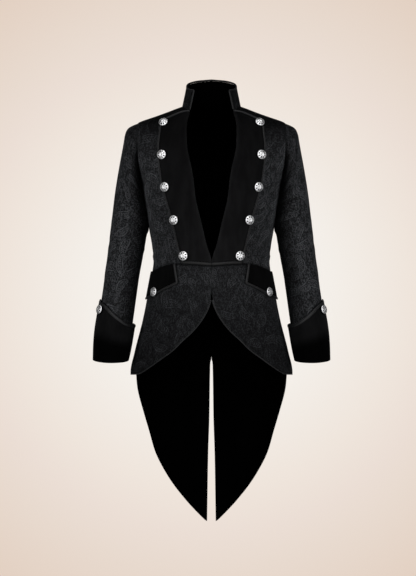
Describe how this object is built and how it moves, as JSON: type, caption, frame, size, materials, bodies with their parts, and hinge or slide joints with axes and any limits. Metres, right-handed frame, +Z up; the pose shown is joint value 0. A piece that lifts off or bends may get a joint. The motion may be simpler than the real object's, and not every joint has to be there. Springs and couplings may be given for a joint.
{
  "type": "tailcoat",
  "caption": "Worn black tailcoat with standing collar, wide velvet plastron fronts, gauntlet cuffs, pocket flaps and long pointed tails, hollow and open to put on.",
  "frame": {"origin": "midway between the two side neck points, where the coat rests on the wearer's shoulders", "axes": "+Z up, -Y out of the coat's front, +X to the wearer's left"},
  "size_m": [0.6374, 0.2633, 1.2197],
  "materials": {
    "brocade": "black patterned cloth with a soft sheen",
    "velvet": "matt black velvet",
    "satin_piping": "black satin cord, slightly shiny",
    "lining": "plain black lining",
    "silver_metal": "worn silver plate with dark hollows"
  },
  "bodies": {
    "root": {"front_left": "brocade", "back_left": "brocade", "back_lining_left": "lining", "skirt_left": "brocade", "skirt_piping_left": "brocade", "tail_left": "brocade", "tail_lining_left": "lining", "plastron_left": "velvet", "plastron_piping_left": "satin_piping", "sleeve_left": "brocade", "cuff_left": "velvet", "cuff_piping_left": "satin_piping", "flap_left": "velvet", "flap_piping_left": "satin_piping", "button_left_1": "silver_metal", "button_left_2": "silver_metal", "button_left_3": "silver_metal", "button_left_4": "silver_metal", "button_left_5": "silver_metal", "flap_button_left": "silver_metal", "cuff_button_left": "silver_metal", "front_right": "brocade", "back_right": "brocade", "back_lining_right": "lining", "skirt_right": "brocade", "skirt_piping_right": "brocade", "tail_right": "brocade", "tail_lining_right": "lining", "plastron_right": "velvet", "plastron_piping_right": "satin_piping", "sleeve_right": "brocade", "cuff_right": "velvet", "cuff_piping_right": "satin_piping", "flap_right": "velvet", "flap_piping_right": "satin_piping", "button_right_1": "silver_metal", "button_right_2": "silver_metal", "button_right_3": "silver_metal", "button_right_4": "silver_metal", "button_right_5": "silver_metal", "flap_button_right": "silver_metal", "cuff_button_right": "silver_metal", "collar": "brocade", "collar_lining": "lining", "collar_piping": "satin_piping"}
  },
  "joints": []
}
